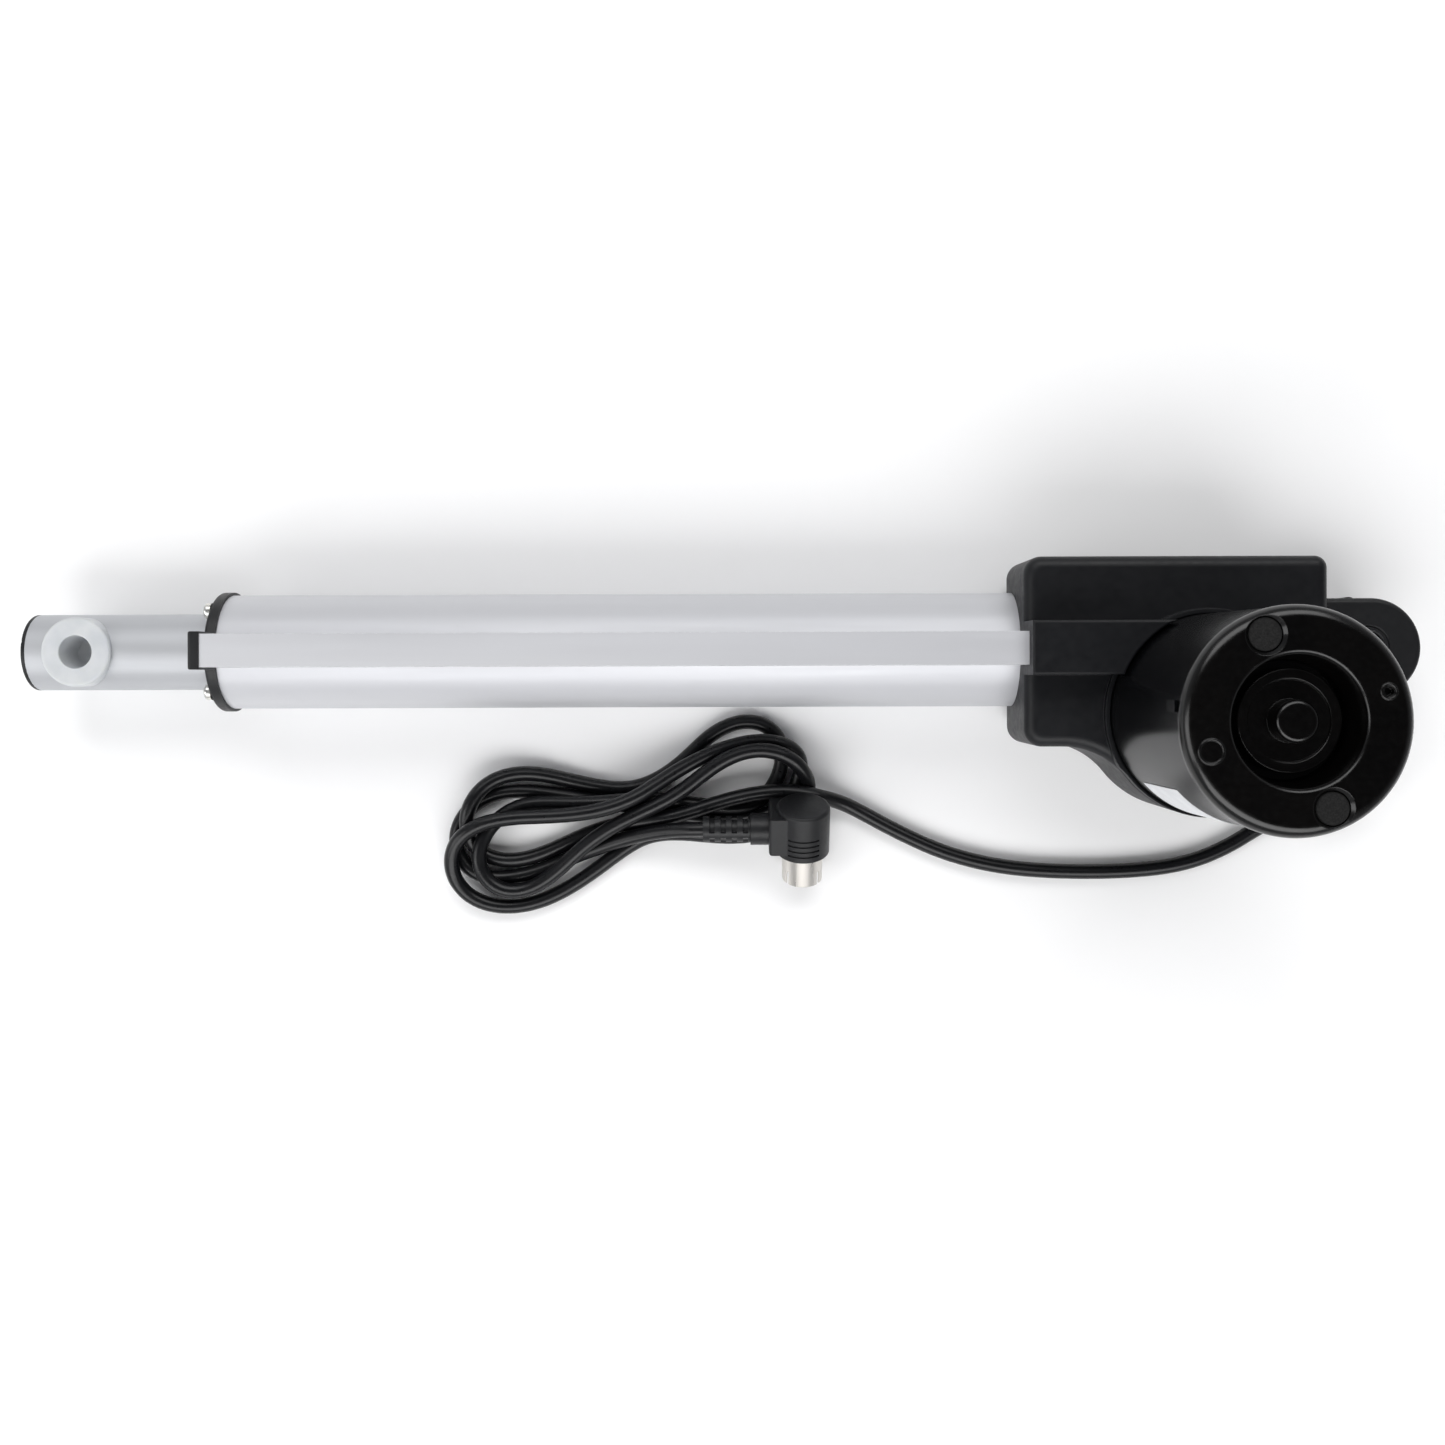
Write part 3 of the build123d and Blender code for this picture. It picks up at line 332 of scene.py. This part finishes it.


# one finish for each material slot of the record
# each edge colour is partly rubbed wear and partly a painted highlight along the rims
finishes = {
    "tube_aluminium": dict(
        colour=(0.545, 0.55, 0.575), second=(0.585, 0.59, 0.61), metal=0.45, rough=(0.48, 0.58),
        mottle=45.0, grain=2600.0, stretch=along_x, depth=2.2 * micron, marks=0.08,
        edge=(0.78, 0.79, 0.81),
    ),
    "rod_aluminium": dict(
        colour=(0.45, 0.46, 0.48), second=(0.49, 0.50, 0.52), metal=0.5, rough=(0.46, 0.56),
        grain=3200.0, stretch=along_x, depth=2 * micron, marks=0.08, edge=(0.70, 0.71, 0.73),
    ),
    "housing_black": dict(
        colour=(0.0027, 0.0030, 0.0042), second=(0.0037, 0.0041, 0.0055), rough=(0.40, 0.52),
        mottle=70.0, grain=5200.0, edge=(0.022, 0.023, 0.026), edge_radius=0.0005, marks=0.06,
        specular=0.28,
    ),
    "end_cap_black": dict(
        colour=(0.0052, 0.0055, 0.0066), second=(0.0076, 0.0079, 0.0090), rough=(0.36, 0.50),
        mottle=120.0, grain=5200.0, depth=8 * micron, edge=(0.035, 0.035, 0.038), marks=0.08,
        specular=0.4,
    ),
    "can_black": dict(
        colour=(0.0016, 0.0017, 0.0021), second=(0.0024, 0.0025, 0.0030), rough=(0.20, 0.22),
        mottle=20.0, grain=120.0, depth=2 * micron, marks=0.004, specular=0.18,
    ),
    "motor_cap_black": dict(
        colour=(0.0009, 0.0008, 0.0008), second=(0.0016, 0.0014, 0.0013), rough=(0.18, 0.25),
        mottle=90.0, grain=600.0, depth=0.8 * micron, edge=(0.004, 0.004, 0.0044), marks=0.02,
        specular=0.42,
    ),
    "lug_black": dict(
        colour=(0.0050, 0.0053, 0.0063), second=(0.0068, 0.0071, 0.0082), rough=(0.40, 0.52),
        mottle=140.0, grain=3800.0, edge=(0.035, 0.035, 0.039), marks=0.06, specular=0.32,
    ),
    "white_nylon": dict(
        colour=(0.49, 0.51, 0.53), second=(0.55, 0.565, 0.58), rough=(0.34, 0.46), mottle=160.0,
        grain=2600.0, depth=6 * micron, edge=(0.66, 0.67, 0.67), soft=0.30,
    ),
    "steel": dict(
        colour=(0.45, 0.455, 0.46), second=(0.56, 0.56, 0.565), metal=1.0, rough=(0.22, 0.36),
        mottle=120.0, stretch=along_x, depth=3 * micron, edge=(0.7, 0.7, 0.7),
    ),
    "zinc_screw": dict(
        colour=(0.60, 0.61, 0.60), second=(0.70, 0.69, 0.64), metal=1.0, rough=(0.22, 0.38),
        mottle=500.0, grain=5000.0, depth=8 * micron, edge=(0.85, 0.85, 0.84), edge_radius=0.0002,
    ),
    "rubber_black": dict(
        colour=(0.010, 0.010, 0.011), second=(0.017, 0.017, 0.018), rough=(0.52, 0.68),
        mottle=200.0, grain=4800.0, depth=14 * micron, edge=(0.04, 0.04, 0.042),
        edge_radius=0.0002,
    ),
    "foam_grey": dict(
        colour=(0.0028, 0.0028, 0.0029), second=(0.0110, 0.0108, 0.0107), rough=(0.75, 0.90),
        mottle=2400.0, grain=3200.0, depth=120 * micron, edge=(0.03, 0.03, 0.03), specular=0.25,
    ),
    "label_silver": dict(
        colour=(0.62, 0.63, 0.65), second=(0.68, 0.69, 0.705), rough=(0.38, 0.50), mottle=220.0,
        grain=900.0, depth=12 * micron, edge=(0.70, 0.70, 0.70), edge_radius=0.0001,
    ),
    "board_green": dict(
        colour=(0.010, 0.075, 0.035), second=(0.014, 0.095, 0.045), rough=(0.30, 0.42),
        mottle=300.0,
    ),
    "switch_black": dict(
        colour=(0.014, 0.014, 0.015), second=(0.020, 0.020, 0.021), rough=(0.40, 0.52),
        mottle=300.0, grain=5000.0, edge=(0.05, 0.05, 0.05),
    ),
    "copper": dict(
        colour=(0.70, 0.30, 0.14), second=(0.80, 0.38, 0.19), metal=1.0, rough=(0.28, 0.42),
        mottle=300.0, grain=2200.0, stretch=along_z, depth=80 * micron,
    ),
    "ferrite": dict(
        colour=(0.030, 0.030, 0.031), second=(0.050, 0.050, 0.052), rough=(0.45, 0.62),
        mottle=200.0, grain=3500.0, depth=30 * micron, edge=(0.09, 0.09, 0.09),
    ),
    "bronze": dict(
        colour=(0.52, 0.34, 0.16), second=(0.62, 0.42, 0.22), metal=1.0, rough=(0.34, 0.48),
        mottle=400.0, grain=4500.0, depth=20 * micron, edge=(0.75, 0.55, 0.30),
    ),
    "carbon": dict(
        colour=(0.020, 0.020, 0.021), second=(0.032, 0.032, 0.034), rough=(0.50, 0.65),
        mottle=500.0, grain=4500.0, depth=20 * micron,
    ),
    "gear_acetal": dict(
        colour=(0.70, 0.69, 0.65), second=(0.78, 0.77, 0.72), rough=(0.34, 0.46), mottle=150.0,
        depth=6 * micron, soft=0.15,
    ),
    "cable_black": dict(
        colour=(0.0032, 0.0034, 0.0042), second=(0.0048, 0.0050, 0.0060), rough=(0.26, 0.36),
        mottle=110.0, grain=2400.0, depth=4 * micron, marks=0.08, specular=0.34,
    ),
    "plug_black": dict(
        colour=(0.0058, 0.0061, 0.0071), second=(0.0078, 0.0081, 0.0093), rough=(0.36, 0.48),
        mottle=150.0, grain=4600.0, depth=8 * micron, edge=(0.024, 0.024, 0.026), marks=0.06,
        specular=0.34,
    ),
    "shell_nickel": dict(
        colour=(0.58, 0.555, 0.52), second=(0.66, 0.635, 0.60), metal=0.85, rough=(0.26, 0.36),
        mottle=180.0, grain=2600.0, stretch=along_yz, depth=3 * micron, edge=(0.85, 0.84, 0.80),
        edge_radius=0.00015,
    ),
    "pin_nickel": dict(
        colour=(0.66, 0.64, 0.58), second=(0.74, 0.72, 0.66), metal=1.0, rough=(0.18, 0.30),
        mottle=400.0, grain=4000.0, depth=3 * micron,
    ),
}
materials = {name: finish(name, **settings) for name, settings in finishes.items()}


def dress_cad_nodes():
    """Give each CAD node the finish of its own material slot."""
    for node in nodes.values():
        for slot in node.material_slots:
            slot.material = materials[slot.material.name.split(".")[0]]


# ---- surroundings ----
floor_half_width = 4.0
floor_gap = 0.0001    # a hair under the object, so that no two faces coincide
floor_tones = ((0.92, 0.92, 0.924), (0.94, 0.94, 0.942))
floor_patches_per_metre = 6.0
floor_noise = (0.3, 0.7)
floor_roughness = 0.65

world_strength = 0.8
# where the sky's colours are, from 0 at the horizon to 1 overhead
world_colours = ((0.05, (0.62, 0.63, 0.65, 1.0)), (0.75, (0.035, 0.035, 0.038, 1.0)))

lights_aim = (-0.19, -0.02, 0.0)
softboxes = {    # place, width and length, watts
    "softbox_front": ((-0.15, -1.00, 1.05), (1.8, 0.8), 19.0),
    "softbox_back": ((-0.10, 1.00, 1.05), (1.8, 0.8), 16.5),
    "softbox_left": ((-1.25, -0.30, 0.85), (0.8, 0.8), 6.5),
}


def make_floor():
    half = floor_half_width
    below = floor_z - floor_gap
    corners = [
        (x * half, y * half, below) for x, y in ((-1, -1), (1, -1), (1, 1), (-1, 1))
    ]
    mesh = bpy.data.meshes.new("floor")
    mesh.from_pydata(corners, [], [(0, 1, 2, 3)])
    floor = add_object("floor", mesh)
    g = Graph("floor")
    tone = g.spread(g.noise(floor_patches_per_metre), floor_noise)
    g.join(g.blend(tone, *floor_tones), g.shader.inputs["Base Color"])
    g.shader.inputs["Roughness"].default_value = floor_roughness
    mesh.materials.append(g.material)


def make_world():
    world = bpy.data.worlds.new("studio")
    world.use_nodes = True
    tree = world.node_tree
    background = tree.nodes["Background"]
    place = tree.nodes.new("ShaderNodeTexCoord")
    split = tree.nodes.new("ShaderNodeSeparateXYZ")
    ramp = tree.nodes.new("ShaderNodeValToRGB")
    tree.links.new(place.outputs["Generated"], split.inputs["Vector"])
    tree.links.new(split.outputs["Z"], ramp.inputs["Fac"])
    tree.links.new(ramp.outputs["Color"], background.inputs["Color"])
    for element, (position, colour) in zip(ramp.color_ramp.elements, world_colours):
        element.position = position
        element.color = colour
    background.inputs["Strength"].default_value = world_strength
    bpy.context.scene.world = world


def make_lights():
    for name, (place, size, watts) in softboxes.items():
        data = bpy.data.lights.new(name, "AREA")
        data.shape = "RECTANGLE"
        data.size, data.size_y = size
        data.energy = watts
        light = add_object(name, data)
        light.location = place
        away = Vector(lights_aim) - Vector(place)
        light.rotation_euler = away.to_track_quat("-Z", "Y").to_euler()


make_camera()
make_cable()
dress_cad_nodes()
make_floor()
make_world()
make_lights()
bpy.context.scene.view_settings.view_transform = "Standard"
